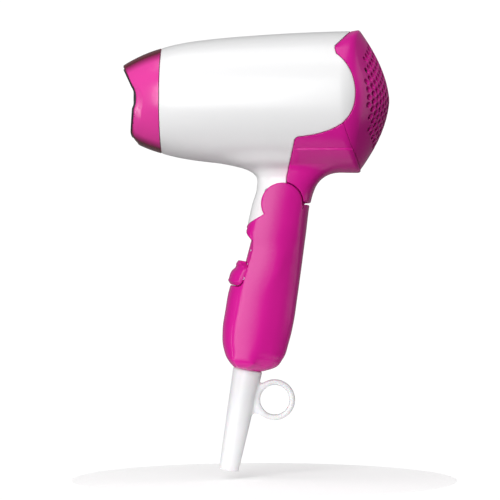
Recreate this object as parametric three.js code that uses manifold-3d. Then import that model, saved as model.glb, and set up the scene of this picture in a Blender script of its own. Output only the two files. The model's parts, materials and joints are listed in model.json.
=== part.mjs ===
// A compact folding hair dryer: barrel with heater and fan, folding handle, slide switch, cord guard.
// Millimetres, +Z up, nozzle towards -X, intake grille towards +X, mirror plane Y = 0.
// The origin is the middle of the hand grip; the fold pivot lies above it along the leaning handle.
import * as THREE from 'three';
import { mergeVertices } from 'three/addons/utils/BufferGeometryUtils.js';
import { ParametricGeometry } from 'three/addons/geometries/ParametricGeometry.js';
import Module from 'manifold-3d';

const wasm = await Module();
wasm.setup();

// ---- Driving dimensions ----
const HANDLE_LEAN = THREE.MathUtils.degToRad(10.7); // handle leans its foot towards the nozzle
const GRIP_DROP = 48; // from the fold pivot down the handle to the middle of the grip
const BARREL_RISE = 53.6; // barrel axis above the fold pivot
const WALL = 2; // moulded casing thickness
const GAP = 0.3; // between pieces that touch
const FAR = 200; // reach of a cutting solid

// Barrel, seen along its axis x (from the fold pivot)
const SEAM_X = -62.3; // nozzle meets barrel
const RIM_X = 40.3; // barrel meets intake dome
const RIM_RADIUS = 36.2;
const BARREL_TAPER = 6.7; // slow narrowing towards the nozzle
const BARREL_NOSE = 2.3; // quick narrowing over the last stretch
const DOME_DEPTH = 15.7;
const SKIN_STEP = 0.5; // pink casing stands this proud of the white one
const ROUND = 32; // facets round the barrel

// Nozzle
const NOZZLE_TIP_X = -82.6;
const NOZZLE_TIP_RADIUS = 18.2;
const NOZZLE_BULGE = 2.2; // how far its side bows out from a straight cone
const NOZZLE_WALL = 1.8;
const SPIGOT_RADIUS = 24.6;
const SPIGOT_LENGTH = 4;

// Fold knuckle
const KNUCKLE_RADIUS = 10.8;
const TONGUE_HALF = 11.4; // half width of the neck between the cheeks
const CHEEK_INNER = 11.8;
const HANDLE_HALF = 15.5; // half width of the handle
const TONGUE_RADIUS = 12;
const TOE_RADIUS = 20.3;
const PIN_RADIUS = 3;
const PIN_HALF = 13.8;
const BOSS_RADIUS = 5;

// Handle
const HANDLE_FOOT = -87.4;
const NECK_POWER = 2.4; // roundness of a section, 2 is an ellipse
const HANDLE_POWER = 3;

// Slide switch
const SWITCH_LEAN = THREE.MathUtils.degToRad(4); // slide direction against the handle axis
const KNOB_HALF = 9;
const KNOB_TRAVEL = 14.4;
const KNOB_TOP = -32.75;
const KNOB_FOOT = -46;
const TRACK_X = -13.2; // handle surface that the knob rides on

// Cord guard
const GUARD_X = -1.3;
const GUARD_TOP_RADIUS = 7.65;
const GUARD_END_RADIUS = 5.1;
const GUARD_END = -141;
const CORD_BORE_RADIUS = 3.6;
const RING_X = 15.35;
const RING_Z = -100.6;
const RING_OUTER = 10.6;
const RING_HOLE = 7.6;
const RING_HALF = 2.4;

// Fan and heater
const MOTOR_RADIUS = 12;
const MOTOR_FRONT = -2;
const MOTOR_BACK = 24;
const FAN_FRONT = 28;
const FAN_BACK = 39;
const FAN_RADIUS = 31;
const FAN_BLADES = 7;
const ELEMENT_HALF = 19.2;
const ELEMENT_FRONT = -56;
const ELEMENT_BACK = -9;

// ---- Materials ----
function plastic(color, roughness, opacity = 1) {
  return new THREE.MeshStandardMaterial({ color, roughness, metalness: 0, opacity, transparent: opacity < 1 });
}

function metal(color, roughness) {
  return new THREE.MeshStandardMaterial({ color, roughness, metalness: 1 });
}

const white = plastic(0xf2f2f4, 0.3);
const pink = plastic(0xd62f92, 0.32);
const nozzlePink = plastic(0xe83e9c, 0.1, 0.7);
const darkPlastic = plastic(0x26242a, 0.5);
const guardWhite = plastic(0xf0f0f2, 0.45);
const board = plastic(0xcdb98a, 0.7);
const circuitGreen = plastic(0x2f6b3c, 0.5);
const leadCover = plastic(0xe6e6e0, 0.5);
const steel = metal(0xb9bcc0, 0.35);
const nichrome = metal(0x8d8a86, 0.4);
const motorSteel = metal(0xa7aaad, 0.3);

// ---- Solid helpers ----
// A closed three.js geometry as a manifold solid, faces turned outwards.
function solid(geometry) {
  const bare = geometry.clone();
  bare.deleteAttribute('normal');
  bare.deleteAttribute('uv');
  const merged = mergeVertices(bare, 1e-4);
  const position = merged.attributes.position;
  const faces = [];
  let volume = 0;
  const [a, b, c] = [new THREE.Vector3(), new THREE.Vector3(), new THREE.Vector3()];
  for (let i = 0; i < merged.index.count; i += 3) {
    const ids = [0, 1, 2].map((k) => merged.index.getX(i + k));
    if (new Set(ids).size < 3) continue;
    a.fromBufferAttribute(position, ids[0]);
    b.fromBufferAttribute(position, ids[1]);
    c.fromBufferAttribute(position, ids[2]);
    volume += a.dot(b.cross(c));
    faces.push(...ids);
  }
  if (volume < 0) faces.reverse();
  return new wasm.Manifold(new wasm.Mesh({
    numProp: 3,
    vertProperties: Float32Array.from(position.array),
    triVerts: Uint32Array.from(faces),
  }));
}

function geometryOf(body) {
  const mesh = body.getMesh();
  const geometry = new THREE.BufferGeometry();
  geometry.setAttribute('position', new THREE.BufferAttribute(Float32Array.from(mesh.vertProperties), 3));
  geometry.setIndex(new THREE.BufferAttribute(Uint32Array.from(mesh.triVerts), 1));
  geometry.computeVertexNormals();
  return geometry;
}

const join = (first, ...rest) => rest.reduce((sum, next) => sum.add(next), first);
const cut = (first, ...rest) => rest.reduce((left, next) => left.subtract(next), first);

function box(lowX, highX, lowY, highY, lowZ, highZ) {
  const geometry = new THREE.BoxGeometry(highX - lowX, highY - lowY, highZ - lowZ);
  return solid(geometry.translate((lowX + highX) / 2, (lowY + highY) / 2, (lowZ + highZ) / 2));
}

// Cylinder along Y at (x, z).
function crossRod(radius, lowY, highY, x, z, sides = 20) {
  const geometry = new THREE.CylinderGeometry(radius, radius, highY - lowY, sides);
  return solid(geometry.translate(x, (lowY + highY) / 2, z));
}

// Cylinder along X at (y, z).
function longRod(radius, lowX, highX, y, z, sides = 20) {
  const geometry = new THREE.CylinderGeometry(radius, radius, highX - lowX, sides).rotateZ(-Math.PI / 2);
  return solid(geometry.translate((lowX + highX) / 2, y, z));
}

// Solid of revolution about the barrel axis; points are (radius, x).
function barrelTurn(points, sides = ROUND) {
  const outline = points.map(([radius, x]) => new THREE.Vector2(radius, x));
  return solid(new THREE.LatheGeometry(outline, sides).rotateZ(-Math.PI / 2).translate(0, 0, BARREL_RISE));
}

// Solid of revolution about the vertical through (x, 0); points are (radius, z).
function uprightTurn(points, x, sides = 28) {
  const outline = points.map(([radius, z]) => new THREE.Vector2(radius, z));
  return solid(new THREE.LatheGeometry(outline, sides).rotateX(Math.PI / 2).translate(x, 0, 0));
}

// A side outline in (x, z) made into a slab between two y values.
function slab(shape, lowY = -FAR, highY = FAR, curveSegments = 12) {
  const options = { depth: highY - lowY, bevelEnabled: false, curveSegments };
  return solid(new THREE.ExtrudeGeometry(shape, options).rotateX(Math.PI / 2).translate(0, highY, 0));
}

function polygon(points) {
  return new THREE.Shape(points.map(([x, z]) => new THREE.Vector2(x, z)));
}

// Wire or lead along a smooth curve through points.
function tube(points, radius, steps, sides = 8) {
  const path = new THREE.CatmullRomCurve3(points.map((p) => new THREE.Vector3(...p)));
  return solid(new THREE.ExtrudeGeometry(polygon(circlePoints(radius, sides)), { steps, extrudePath: path }));
}

function circlePoints(radius, sides) {
  return Array.from({ length: sides }, (_, i) => {
    const angle = (i / sides) * Math.PI * 2;
    return [radius * Math.cos(angle), radius * Math.sin(angle)];
  });
}

// Column with super-elliptic sections. Rows are [z, front x, rear x, half width], smoothed between.
function column(rows, stacks, slices, power) {
  const ends = new THREE.CatmullRomCurve3(rows.map(([z, front, rear]) => new THREE.Vector3(front, rear, z)));
  const halves = new THREE.CatmullRomCurve3(rows.map(([z, , , half]) => new THREE.Vector3(half, 0, z)));
  const powerOf = (value) => Math.sign(value) * Math.abs(value) ** (2 / power);
  const section = (u, v, target) => {
    const inner = THREE.MathUtils.clamp((v * (stacks + 2) - 1) / stacks, 0, 1);
    const open = v === 0 || v === 1 ? 0 : 1; // first and last rings close to a point
    const end = ends.getPoint(inner);
    const half = halves.getPoint(inner).x;
    const angle = u * Math.PI * 2;
    const middle = (end.x + end.y) / 2;
    const reach = (end.y - end.x) / 2;
    target.set(middle + open * reach * powerOf(Math.cos(angle)), open * half * powerOf(Math.sin(angle)), end.z);
  };
  return solid(new ParametricGeometry(section, slices, stacks + 2));
}

const inset = (rows, by) => rows.map(([z, front, rear, half]) => [z, front + by, rear - by, half - by]);

// ---- Head casing ----
// Barrel radius at a distance x along its axis.
function barrelRadius(x) {
  const along = (RIM_X - x) / (RIM_X - SEAM_X);
  return RIM_RADIUS - BARREL_TAPER * along ** 1.7 - BARREL_NOSE * along ** 10;
}

// Radius of the intake dome at a share of its depth, from rim 0 to crown 1.
const domeRadius = (share) => RIM_RADIUS * (1 - share) ** (1 / 1.75);

// Barrel and dome as one solid, its surface moved out by a distance.
function barrelBody(out, steps = 6, domeSteps = 5) {
  const points = [[0, SEAM_X - (out < 0 ? 1 : 0)]];
  for (let i = 0; i <= steps; i++) {
    const x = SEAM_X + (RIM_X - SEAM_X) * (i / steps);
    points.push([barrelRadius(x) + out, i === 0 && out < 0 ? x - 1 : x]);
  }
  for (let i = 1; i < domeSteps; i++) {
    const share = Math.sin((i / domeSteps) * Math.PI / 2) ** 2;
    points.push([domeRadius(share) + out, RIM_X + share * (DOME_DEPTH + Math.min(out, 0))]);
  }
  points.push([0, RIM_X + DOME_DEPTH + out]);
  return barrelTurn(points);
}

// Neck rows from inside the barrel down to the toe that enters the handle.
const NECK_ROWS = [
  [30, -34, 44, 19],
  [21, -25, 33, 16],
  [18.4, -18.2, 27.2, 13],
  [14.8, -13.6, 20.6, 11.4],
  [8.5, -12.9, 17.4, 11.4],
  [0, -15.2, 14.8, 11.4],
  [-9, -17.3, 14.4, 11.4],
  [-16, -18.6, 14.2, 11.4],
];

// Side outline of the neck: open above, tongue and toe arcs about the pivot below.
function neckOutline(shrink) {
  const shape = new THREE.Shape();
  const tongue = TONGUE_RADIUS - shrink;
  const toe = TOE_RADIUS - shrink;
  const toeLow = THREE.MathUtils.degToRad(222);
  const toeHigh = THREE.MathUtils.degToRad(200);
  shape.moveTo(60, 60);
  shape.lineTo(60, 0.6 + shrink);
  shape.lineTo(tongue, 0.6 + shrink);
  shape.absarc(0, 0, tongue, 0, toeLow, true);
  shape.absarc(0, 0, toe, toeLow, toeHigh, true);
  shape.lineTo(-60, 0);
  shape.lineTo(-60, 60);
  return shape;
}

// Turned solid about the pivot that the toe stays inside; it narrows towards the cheeks.
function toeRound(half, rim) {
  const core = 10;
  const steps = 6;
  const points = [[0, -half]];
  for (let i = 0; i <= steps; i++) {
    const y = -half * Math.cos((i / steps) * Math.PI);
    points.push([core + (rim - core) * (1 - Math.abs(y / half) ** 2.2) ** (1 / 2.2), y]);
  }
  points.push([0, half]);
  return solid(new THREE.LatheGeometry(points.map(([radius, y]) => new THREE.Vector2(radius, y)), 28));
}

function neckBody(shrink) {
  const rows = inset(NECK_ROWS, shrink);
  const room = join(
    toeRound(TONGUE_HALF, TOE_RADIUS),
    crossRod(TONGUE_RADIUS, -TONGUE_HALF, TONGUE_HALF, 0, 0, 28),
    box(-60, 60, -60, 60, 12, 60),
    box(0, 60, -60, 60, 0.6, 60),
  );
  const body = column(rows, 9, 20, NECK_POWER).intersect(slab(neckOutline(shrink), -60, 60, 6));
  return body.intersect(room);
}

// Everything behind the edge where white casing meets pink casing.
function pinkRegion(back) {
  const shape = new THREE.Shape();
  shape.moveTo(RIM_X - 3.5 + back, 60 + BARREL_RISE);
  shape.lineTo(RIM_X - 3.5 + back, 37 + BARREL_RISE);
  shape.lineTo(27.7 + back, 26.5 + BARREL_RISE);
  shape.lineTo(28.6 + back, 22.5 + BARREL_RISE);
  shape.bezierCurveTo(41 + back, 14 + BARREL_RISE, 42 + back, -6 + BARREL_RISE, 31 + back, -13.5 + BARREL_RISE);
  shape.quadraticCurveTo(23 + back, -19 + BARREL_RISE, 6.5 + back, -20 + BARREL_RISE - back);
  shape.lineTo(2.6 + back, 14);
  shape.lineTo(6.2 + back, 6);
  shape.lineTo(6.2 + back, -30);
  shape.lineTo(FAR, -30);
  shape.lineTo(FAR, 60 + BARREL_RISE);
  return slab(shape);
}

// Everything behind the edge where the intake piece meets the lower rear casing.
function grilleRegion(back) {
  return slab(polygon([
    [20, 90 + BARREL_RISE],
    [20, -11 + BARREL_RISE + back],
    [33 + back, -13.5 + BARREL_RISE + back],
    [35.2 + back, -23.6 + BARREL_RISE],
    [RIM_X + back, -35 + BARREL_RISE],
    [RIM_X + back, -60 + BARREL_RISE],
    [FAR, -60 + BARREL_RISE],
    [FAR, 90 + BARREL_RISE],
  ]));
}

const SCREW_Z = 10.4; // neck screw height
const WIRE_X = -8; // where the leads pass the neck

const hollowBarrel = barrelBody(-WALL);
const hollowNeck = neckBody(WALL);

function barrelHousing() {
  const skin = cut(join(barrelBody(0), neckBody(0)), hollowBarrel, hollowNeck);
  const bosses = join(
    crossRod(BOSS_RADIUS, -TONGUE_HALF, TONGUE_HALF, 0, 0, 24),
    longRod(3.4, -4, 4, 0, SCREW_Z, 16),
    box(-3, 3, -1, 1, 0, SCREW_Z),
  ).intersect(join(neckBody(0.2), box(-6, 6, -11.4, 11.4, -6, 6)));
  const whole = cut(join(skin, bosses), pinkRegion(-GAP));
  return cut(
    whole,
    crossRod(PIN_RADIUS + 0.3, -20, 20, 0, 0, 24),
    longRod(1.3, -3, 10, 0, SCREW_Z, 12),
    detentBore(),
    tongueWireSlot(),
  );
}

// Leads enter the tongue through a slot in its underside.
const tongueWireSlot = () => box(-11, -5.5, -3, 3, -16, -6);

const detentBore = () => crossRod(1.9, -13, -6.5, -7.5, 6.5, 16);

function rearHousing() {
  const flush = column([[30, -20, 44, 15.3], [17, -16, 25, HANDLE_HALF - 0.2], [8.5, -15, 17.4, HANDLE_HALF - 0.2],
    [0, -15.2, 14.8, HANDLE_HALF - 0.2], [-6, -15.4, 14.6, HANDLE_HALF - 0.2]], 4, 20, HANDLE_POWER);
  const collar = crossRod(KNUCKLE_RADIUS + 0.4, -FAR, FAR, 0, 0, 40);
  const shoulder = box(-60, 60, -FAR, FAR, 0.6, 24);
  const pads = cut(flush.intersect(shoulder), collar, hollowBarrel);
  const skin = cut(join(barrelBody(SKIN_STEP), neckBody(0), pads), hollowBarrel, hollowNeck);
  const boss = join(longRod(4.2, 4, 16, 0, SCREW_Z, 20));
  const whole = join(skin, boss).intersect(pinkRegion(0));
  return cut(
    whole,
    grilleRegion(-GAP),
    longRod(1.6, -5, 30, 0, SCREW_Z, 12),
    longRod(3, 12.3, 40, 0, SCREW_Z, 20),
    crossRod(BOSS_RADIUS + 0.5, -FAR, FAR, 0, 0, 24),
  );
}

// Rings of air holes through the dome, staggered from ring to ring.
function airHoles() {
  const rings = [[0, 1], [9, 7], [18, 13]];
  const holes = [];
  rings.forEach(([radius, count], ring) => {
    for (let i = 0; i < count; i++) {
      const angle = ((i + (ring % 2) / 2) / count) * Math.PI * 2;
      const y = radius * Math.cos(angle);
      const z = BARREL_RISE + radius * Math.sin(angle);
      holes.push(longRod(2.5, RIM_X, RIM_X + 30, y, z, 6));
    }
  });
  return holes;
}

function rearGrille() {
  const skin = cut(barrelBody(SKIN_STEP), hollowBarrel);
  return cut(skin.intersect(pinkRegion(0)).intersect(grilleRegion(0)), ...airHoles());
}

// ---- Nozzle and outlet ----
// Nozzle radius at a share of its length, from seam 0 to tip 1.
function nozzleRadius(share) {
  const seamRadius = barrelRadius(SEAM_X);
  return seamRadius + (NOZZLE_TIP_RADIUS - seamRadius) * share + 4 * NOZZLE_BULGE * share * (1 - share);
}

function nozzleProfile(out, frontX) {
  const steps = 4;
  return Array.from({ length: steps + 1 }, (_, i) => {
    const share = i / steps;
    return [nozzleRadius(share) + out, SEAM_X - GAP - share * (SEAM_X - GAP - frontX)];
  });
}

// The mouth is scooped: its edge leans back from the top and is deepest at mid height.
function mouthScoop() {
  const shape = new THREE.Shape();
  shape.moveTo(-FAR, 30 + BARREL_RISE);
  shape.lineTo(NOZZLE_TIP_X - 4, 30 + BARREL_RISE);
  shape.lineTo(NOZZLE_TIP_X, 18.4 + BARREL_RISE);
  shape.quadraticCurveTo(-76.6, 5 + BARREL_RISE, -77.4, -5 + BARREL_RISE);
  shape.lineTo(-78.6, -18 + BARREL_RISE);
  shape.lineTo(-76.8, -21 + BARREL_RISE);
  shape.lineTo(-76.8, -40 + BARREL_RISE);
  shape.lineTo(-FAR, -40 + BARREL_RISE);
  return slab(shape, -60, 60, 8);
}

function outletNozzle() {
  const outer = nozzleProfile(0, NOZZLE_TIP_X);
  const inner = nozzleProfile(-NOZZLE_WALL, NOZZLE_TIP_X - 2).slice(1).reverse();
  const spigotX = SEAM_X + SPIGOT_LENGTH;
  const ring = [
    ...outer,
    ...inner,
    [SPIGOT_RADIUS - 1.4, SEAM_X - 1.5],
    [SPIGOT_RADIUS - 1.4, spigotX],
    [SPIGOT_RADIUS, spigotX],
    [SPIGOT_RADIUS, SEAM_X - GAP],
    outer[0],
  ];
  return cut(barrelTurn(ring), mouthScoop());
}

function outletGrille() {
  const [front, back] = [-61, -59];
  const ringOf = (outer, inner) => barrelTurn([[inner, front], [outer, front], [outer, back], [inner, back],
    [inner, front]], 16);
  const spokes = [0, 60, 120].map((degrees) => {
    const bar = new THREE.BoxGeometry(back - front - 0.4, 45, 1.2);
    return solid(bar.rotateX(THREE.MathUtils.degToRad(degrees)).translate((front + back) / 2, 0, BARREL_RISE));
  });
  const hub = longRod(4.5, front, back, 0, BARREL_RISE, 12);
  return join(ringOf(22.9, 21.4), ringOf(17, 15.8), ringOf(10.5, 9.3), hub, ...spokes);
}

function lintScreen() {
  const [front, back] = [42.2, 43.2];
  const rim = barrelTurn([[25, front], [27, front], [27, back], [25, back], [25, front]], 24);
  const bars = [-13, 0, 13].flatMap((offset) => {
    const half = Math.sqrt(26 ** 2 - offset ** 2);
    return [
      box(front + 0.2, back - 0.2, offset - 0.5, offset + 0.5, BARREL_RISE - half, BARREL_RISE + half),
      box(front + 0.2, back - 0.2, -half, half, BARREL_RISE + offset - 0.5, BARREL_RISE + offset + 0.5),
    ];
  });
  return join(rim, ...bars);
}

// ---- Heater ----
function heaterTube() {
  const [inner, outer] = [22.4, 23];
  return barrelTurn([[inner, ELEMENT_FRONT - 1], [outer, ELEMENT_FRONT - 1], [outer, ELEMENT_BACK],
    [inner, ELEMENT_BACK], [inner, ELEMENT_FRONT - 1]], 32);
}

const ELEMENT_MIDDLE = (ELEMENT_FRONT + ELEMENT_BACK) / 2;

// Two crossed boards, each slotted over half its length to pass the other.
function micaBoardUpright() {
  const plate = box(ELEMENT_FRONT, ELEMENT_BACK, -0.5, 0.5, BARREL_RISE - ELEMENT_HALF, BARREL_RISE + ELEMENT_HALF);
  return cut(plate, box(ELEMENT_MIDDLE, 0, -1, 1, BARREL_RISE - 0.8, BARREL_RISE + 0.8));
}

function micaBoardFlat() {
  const plate = box(ELEMENT_FRONT, ELEMENT_BACK, -ELEMENT_HALF, ELEMENT_HALF, BARREL_RISE - 0.5, BARREL_RISE + 0.5);
  return cut(plate, box(-FAR, ELEMENT_MIDDLE + GAP, -0.8, 0.8, BARREL_RISE - 1, BARREL_RISE + 1));
}

// A coil of resistance wire wound round the outer edges of the crossed boards.
function heatingCoil(startX, turns, pitch) {
  const stepsPerTurn = 12;
  const count = turns * stepsPerTurn;
  const points = Array.from({ length: count + 1 }, (_, i) => {
    const angle = (i / stepsPerTurn) * Math.PI * 2;
    const radius = ELEMENT_HALF + 1.3;
    return [startX + (i / stepsPerTurn) * pitch, radius * Math.cos(angle), BARREL_RISE + radius * Math.sin(angle)];
  });
  return tube(points, 0.7, count, 5);
}

const thermostat = () => join(
  box(-22, -12, 1, 9, BARREL_RISE + 2, BARREL_RISE + 7),
  uprightTurn([[0, BARREL_RISE + 6.5], [3.4, BARREL_RISE + 6.5], [3.4, BARREL_RISE + 10], [0, BARREL_RISE + 10]], -17, 16)
    .translate([0, 5, 0]),
);

const thermalFuse = () => join(
  longRod(1.8, -40, -30, -4, BARREL_RISE + 4, 14),
  longRod(0.5, -45, -25, -4, BARREL_RISE + 4, 8),
);

// ---- Motor and fan ----
const SHAFT_RADIUS = 1;

const motor = () => cut(
  join(
    longRod(MOTOR_RADIUS, MOTOR_FRONT, MOTOR_BACK, 0, BARREL_RISE, 28),
    longRod(3.5, MOTOR_BACK - 1, MOTOR_BACK + 1.5, 0, BARREL_RISE, 16),
  ),
  longRod(SHAFT_RADIUS + 0.3, 4, MOTOR_BACK + 5, 0, BARREL_RISE, 12),
);

const motorShaft = () => longRod(SHAFT_RADIUS, 5, FAN_BACK - 2, 0, BARREL_RISE, 12);

// Cup that grips the motor, straightening vanes and an outer duct ring.
function motorHolder() {
  const [front, back] = [2, 22];
  const pipe = (inner, outer, low, high) => barrelTurn([[inner, low], [outer, low], [outer, high], [inner, high],
    [inner, low]], 24);
  const vanes = Array.from({ length: 6 }, (_, i) => {
    const vane = new THREE.BoxGeometry(back - front - 4, 18.6, 1.2).translate(0, 23.1, 0);
    return solid(vane.rotateX((i / 6 + 1 / 12) * Math.PI * 2).translate((front + back) / 2, 0, BARREL_RISE));
  });
  return join(pipe(MOTOR_RADIUS + GAP, 14.2, front, back), pipe(31.2, 32.6, front, back), ...vanes);
}

function rectifierBoard() {
  const disc = longRod(10, -5, -3.4, 0, BARREL_RISE, 24);
  const diodes = [45, 135, 225, 315].map((degrees) => {
    const angle = THREE.MathUtils.degToRad(degrees);
    return longRod(1.6, -7.6, -4.8, 5.5 * Math.cos(angle), BARREL_RISE + 5.5 * Math.sin(angle), 10);
  });
  return join(disc, ...diodes);
}

function fanImpeller() {
  const hub = cut(
    join(
      longRod(9, FAN_FRONT, FAN_FRONT + 8, 0, BARREL_RISE, 28),
      barrelTurn([[0, FAN_FRONT + 8], [9, FAN_FRONT + 8], [7, FAN_FRONT + 9.8], [0, FAN_BACK]], 28),
    ),
    longRod(SHAFT_RADIUS + 0.3, FAN_FRONT - 1, FAN_BACK - 1.6, 0, BARREL_RISE, 12),
  );
  const blade = (u, v, target) => {
    const span = THREE.MathUtils.lerp(7.5, FAN_RADIUS, v);
    const pitch = THREE.MathUtils.degToRad(THREE.MathUtils.lerp(52, 28, v));
    const chord = THREE.MathUtils.lerp(9, 12, v);
    const angle = u * Math.PI * 2;
    const open = v === 0 || v === 1 ? 0 : 1;
    const along = open * Math.cos(angle) * chord / 2;
    const thick = open * Math.sin(angle) * 0.7;
    target.set(along * Math.sin(pitch) - thick * Math.cos(pitch), along * Math.cos(pitch) + thick * Math.sin(pitch), span);
  };
  const bladeGeometry = new ParametricGeometry(blade, 6, 5);
  const blades = Array.from({ length: FAN_BLADES }, (_, i) => solid(bladeGeometry.clone()
    .rotateX((i / FAN_BLADES) * Math.PI * 2)
    .translate(FAN_FRONT + 4.4, 0, BARREL_RISE)));
  return join(hub, ...blades);
}

// ---- Small head pieces ----
const neckScrew = () => join(
  longRod(2.7, 12.6, 14.6, 0, SCREW_Z, 16),
  longRod(1, -2.4, 13, 0, SCREW_Z, 12),
);

const detentBall = () => solid(new THREE.SphereGeometry(1.5, 12, 8).translate(-7.5, -10.1, 6.5));

function detentSpring() {
  const [turns, perTurn] = [4, 8];
  const points = Array.from({ length: turns * perTurn + 1 }, (_, i) => {
    const angle = (i / perTurn) * Math.PI * 2;
    return [-7.5 + 1.1 * Math.cos(angle), -8.3 + (i / perTurn) * 1.1, 6.5 + 1.1 * Math.sin(angle)];
  });
  return tube(points, 0.25, turns * perTurn, 5);
}

const headLead = () => tube([[WIRE_X, 0, -9], [WIRE_X, 0, 2], [-8, 0, 16], [-7, 0, 30], [-5.6, 0, 41.5]], 1.7, 20, 8);

// ---- Handle ----
// Rows in the handle's own frame, pivot at the origin: [z, front x, rear x, half width].
const HANDLE_ROWS = [
  [14, -14.5, 14.4, HANDLE_HALF],
  [0, -15, 14.5, HANDLE_HALF],
  [-13.6, -15.4, 15.4, HANDLE_HALF],
  [-17.5, -15.9, 15.6, HANDLE_HALF],
  [-24.5, -13.3, 16, HANDLE_HALF],
  [-32, -13.6, 16.4, HANDLE_HALF],
  [-46, -18.2, 17.1, HANDLE_HALF],
  [-60, -18.5, 17.6, HANDLE_HALF],
  [-70, -18, 16.9, HANDLE_HALF],
  [-79, -15.8, 15.4, 14.2],
  [-84.4, -12.6, 12.5, 11.6],
  [HANDLE_FOOT, -8.8, 6.4, 7.8],
];

const CAVITY_ROWS = [
  [24, -12.8, 12.4, CHEEK_INNER],
  [0, -13, 12.5, CHEEK_INNER],
  [-14, -13.4, 13.4, CHEEK_INNER],
  [-20, -11.2, 13.9, 12.8],
  [-44, -11.2, 15, 13.5],
  [-49, -14.6, 15.2, 13.5],
  [-60, -16.4, 15.6, 13.5],
  [-70, -16, 14.9, 13.5],
  [-79, -13.6, 13.2, 12],
  [HANDLE_FOOT + WALL, -9.4, 9.2, 8.6],
];

// Side outline of the handle: knuckle disc above radial shoulders.
function handleOutline() {
  const shape = new THREE.Shape();
  const front = THREE.MathUtils.degToRad(210) + HANDLE_LEAN;
  const rear = THREE.MathUtils.degToRad(-2) + HANDLE_LEAN;
  const reach = 60;
  shape.moveTo(reach * Math.cos(rear), reach * Math.sin(rear));
  shape.lineTo(KNUCKLE_RADIUS * Math.cos(rear), KNUCKLE_RADIUS * Math.sin(rear));
  shape.absarc(0, 0, KNUCKLE_RADIUS, rear, front, false);
  shape.lineTo(reach * Math.cos(front), reach * Math.sin(front));
  shape.lineTo(-reach, -2 * reach);
  shape.lineTo(reach, -2 * reach);
  return slab(shape, -60, 60, 20);
}

// Room for the tongue and its toe to swing as the handle folds.
function toeSweep() {
  const sector = new THREE.Shape();
  const [start, end] = [200, 309].map((degrees) => THREE.MathUtils.degToRad(degrees));
  const reach = 40;
  sector.moveTo(0, 0);
  sector.lineTo(reach * Math.cos(start), reach * Math.sin(start));
  sector.absarc(0, 0, reach, start, end, false);
  return join(
    toeRound(CHEEK_INNER, TOE_RADIUS + 0.45).intersect(slab(sector, -60, 60, 6)),
    crossRod(TONGUE_RADIUS + 0.5, -CHEEK_INNER, CHEEK_INNER, 0, 0, 28),
  );
}

// Side outline of the knob, stretched upwards by its travel when asked.
function knobOutline(stretch, grow) {
  return polygon([
    [-6, KNOB_FOOT - grow],
    [-17.4 - grow, KNOB_FOOT - grow],
    [-19.5 - grow, -42.4],
    [-19.5 - grow, -42.4 + stretch],
    [-16.9 - grow, KNOB_TOP - 1.4 + stretch],
    [-16.3 - grow, KNOB_TOP + grow + stretch],
    [-6, KNOB_TOP + grow + stretch],
  ]);
}

// Straight column that the knob rides on, leaning with the slide direction.
const knobTrack = (out) => column([
  [-5, TRACK_X - out, 19, HANDLE_HALF + out],
  [-60, TRACK_X - out, 19, HANDLE_HALF + out],
], 2, 24, HANDLE_POWER);

// Turns a solid from the slide's frame into the handle's frame.
const TRACK_PIVOT_Z = -39;
function fromTrack(body) {
  const turn = new THREE.Matrix4().makeTranslation(0, 0, TRACK_PIVOT_Z);
  turn.multiply(new THREE.Matrix4().makeRotationY(SWITCH_LEAN));
  turn.multiply(new THREE.Matrix4().makeTranslation(0, 0, -TRACK_PIVOT_Z));
  return body.transform(turn.elements);
}

const SCREWS = [[10.2, -28], [7.5, -66]]; // upper and lower handle screws, (x, z) in the handle frame
const CLAMP_SCREWS = [-8, 8];
const CLAMP_Z = -75;

function handleOuter() {
  const body = column(HANDLE_ROWS, 16, 20, HANDLE_POWER).intersect(handleOutline());
  const path = slab(knobOutline(KNOB_TRAVEL, 0.4), -KNOB_HALF - 0.4, KNOB_HALF + 0.4);
  return cut(body, fromTrack(cut(path, knobTrack(0))));
}

function handleHollow() {
  const stemSlot = fromTrack(box(-20, 0, -1.9, 1.9, -44.4, -22.6));
  const guardHole = uprightTurn([[0, HANDLE_FOOT - 5], [5.5, HANDLE_FOOT - 5], [5.5, -80], [0, -80]], GUARD_X);
  return join(column(CAVITY_ROWS, 12, 16, HANDLE_POWER), toeSweep(), stemSlot, guardHole);
}

function handleHalf(side) {
  const half = side < 0 ? box(-FAR, FAR, -FAR, -0.02, -FAR, FAR) : box(-FAR, FAR, 0.02, FAR, -FAR, FAR);
  const outer = handleOuter();
  const shell = cut(outer, handleHollow()).intersect(half);
  const isNutSide = side < 0;
  const posts = SCREWS.map(([x, z]) => {
    const radius = isNutSide ? 3.2 : 4.4;
    return side < 0 ? crossRod(radius, -15, -0.2, x, z, 16) : crossRod(radius, 0.2, 15, x, z, 16);
  });
  const clampPosts = isNutSide ? [] : CLAMP_SCREWS.map((x) => crossRod(2.6, 2.5, 15, x, CLAMP_Z, 14));
  const bores = SCREWS.flatMap(([x, z]) => (isNutSide
    ? [crossRod(1.4, -11, 1, x, z, 12)]
    : [crossRod(1.6, -1, 8, x, z, 12), crossRod(3, 6, 20, x, z, 16)]));
  const clampBores = isNutSide ? [] : CLAMP_SCREWS.map((x) => crossRod(1.3, 0, 10, x, CLAMP_Z, 12));
  const pinBore = crossRod(PIN_RADIUS + 0.25, -PIN_HALF - 0.3, PIN_HALF + 0.3, 0, 0, 24);
  const inside = join(posts[0], ...posts.slice(1), ...clampPosts).intersect(outer);
  return cut(join(shell, inside), ...bores, ...clampBores, pinBore);
}

const foldPin = () => cut(
  crossRod(PIN_RADIUS, -PIN_HALF, PIN_HALF, 0, 0, 24),
  crossRod(1.4, -PIN_HALF - 1, PIN_HALF + 1, 0, 0, 12),
);

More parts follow.
